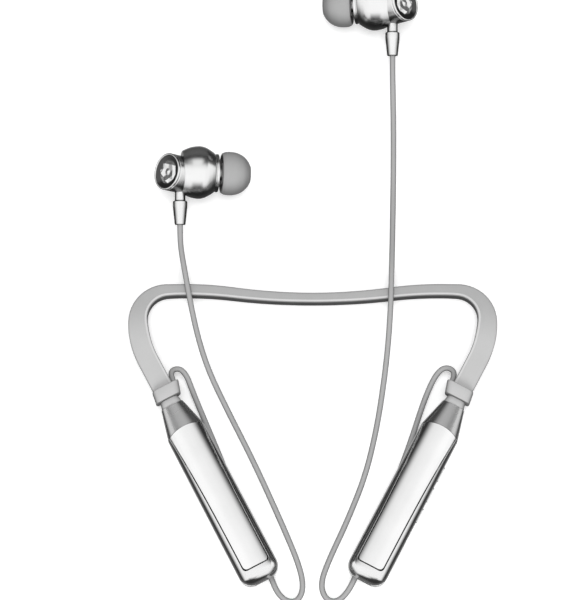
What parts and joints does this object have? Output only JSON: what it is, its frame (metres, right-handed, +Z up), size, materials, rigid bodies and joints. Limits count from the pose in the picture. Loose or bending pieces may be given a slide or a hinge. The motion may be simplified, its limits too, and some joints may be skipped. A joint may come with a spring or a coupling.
{
  "type": "neckband earphones",
  "caption": "Neckband earphones: sprung band between two slim metal housings, with two corded in-ear buds.",
  "frame": {"origin": "on the table, under the middle of the object's box, the two earbud cables left out", "axes": "+X to the side of the control housing, +Y from the housings' tips to the nape of the band, +Z up from the table"},
  "size_m": [0.1264, 0.2179, 0.0194],
  "materials": {
    "band_silicone": "matte light-grey silicone",
    "liner_silicone": "matte dark-grey silicone",
    "spring_steel": "bare spring steel",
    "cable_jacket": "satin grey jacket",
    "collar_plastic": "matte light-grey moulding",
    "satin_metal": "satin silver",
    "polished_metal": "polished, mirror bright",
    "mirror_plate": "polished bright plate",
    "bud_metal": "polished silver",
    "steel_mesh": "fine woven mesh",
    "driver_plastic": "moulded black",
    "magnet": "nickel plated",
    "diaphragm_film": "thin film",
    "dark_gloss": "faceted black gloss",
    "tip_silicone": "matte grey silicone",
    "connector_steel": "stamped steel",
    "circuit_board": "solder mask",
    "switch_plastic": "moulded black",
    "clear_plastic": "clear moulding",
    "battery_wrap": "foil pouch",
    "foam": "adhesive foam",
    "flap_silicone": "matte grey silicone"
  },
  "bodies": {
    "root": {"band_sleeve_right": "band_silicone", "band_liner_right": "liner_silicone", "band_spring_right": "spring_steel", "band_link_cable_right": "cable_jacket", "strap_collar_right": "collar_plastic", "neck_ferrule_right": "collar_plastic", "housing_cone_right": "satin_metal", "upper_shell_right": "polished_metal", "inlay_plate_right": "mirror_plate", "lower_shell_right": "polished_metal", "front_shell_right": "bud_metal", "nozzle_mesh_right": "steel_mesh", "driver_basket_right": "driver_plastic", "driver_magnet_right": "magnet", "driver_diaphragm_right": "diaphragm_film", "rear_shell_right": "bud_metal", "bezel_ring_right": "polished_metal", "ornament_disc_right": "dark_gloss", "holding_magnet_right": "magnet", "cable_boot_right": "bud_metal", "cable_right": "cable_jacket", "usb_c_socket": "connector_steel", "main_board": "circuit_board", "bluetooth_module": "connector_steel", "button_switches": "switch_plastic", "light_pipe": "clear_plastic", "microphone": "connector_steel"},
    "left_arm": {"band_sleeve_left": "band_silicone", "band_liner_left": "liner_silicone", "band_spring_left": "spring_steel", "band_link_cable_left": "cable_jacket", "strap_collar_left": "collar_plastic", "neck_ferrule_left": "collar_plastic", "housing_cone_left": "satin_metal", "upper_shell_left": "polished_metal", "inlay_plate_left": "mirror_plate", "lower_shell_left": "polished_metal", "front_shell_left": "bud_metal", "nozzle_mesh_left": "steel_mesh", "driver_basket_left": "driver_plastic", "driver_magnet_left": "magnet", "driver_diaphragm_left": "diaphragm_film", "rear_shell_left": "bud_metal", "bezel_ring_left": "polished_metal", "ornament_disc_left": "dark_gloss", "holding_magnet_left": "magnet", "cable_boot_left": "bud_metal", "cable_left": "cable_jacket", "battery": "battery_wrap", "battery_pad": "foam", "protection_board": "circuit_board"},
    "volume_up": {"button_volume_up": "polished_metal"},
    "play": {"button_play": "polished_metal"},
    "volume_down": {"button_volume_down": "polished_metal"},
    "charging_flap": {"port_flap": "flap_silicone"},
    "right_tip": {"ear_tip_right": "tip_silicone"},
    "left_tip": {"ear_tip_left": "tip_silicone"}
  },
  "joints": [
    {"name": "band_flex", "type": "hinge", "parent": "root", "child": "left_arm", "pos_m": [0, -0.00498, 0.0032], "axis": [0, 0, -1], "range_deg": [0, 35], "stiffness_Nm_per_rad": 0.25},
    {"name": "volume_up_press", "type": "slide", "parent": "root", "child": "volume_up", "axis": [-0.8854, 0.4648, 0], "range_m": [0, 0.0003], "stiffness_N_per_m": 600},
    {"name": "play_press", "type": "slide", "parent": "root", "child": "play", "axis": [-0.8854, 0.4648, 0], "range_m": [0, 0.0003], "stiffness_N_per_m": 600},
    {"name": "volume_down_press", "type": "slide", "parent": "root", "child": "volume_down", "axis": [-0.8854, 0.4648, 0], "range_m": [0, 0.0003], "stiffness_N_per_m": 600},
    {"name": "flap_swing", "type": "hinge", "parent": "root", "child": "charging_flap", "pos_m": [0.02947, -0.09475, 0.005], "axis": [-0.4648, -0.8854, 0], "range_deg": [0, 100]},
    {"name": "right_tip_pull", "type": "slide", "parent": "root", "child": "right_tip", "axis": [-0.989, 0, -0.1478], "range_m": [0, 0.008]},
    {"name": "left_tip_pull", "type": "slide", "parent": "left_arm", "child": "left_tip", "axis": [0.989, 0, -0.1478], "range_m": [0, 0.008]}
  ]
}
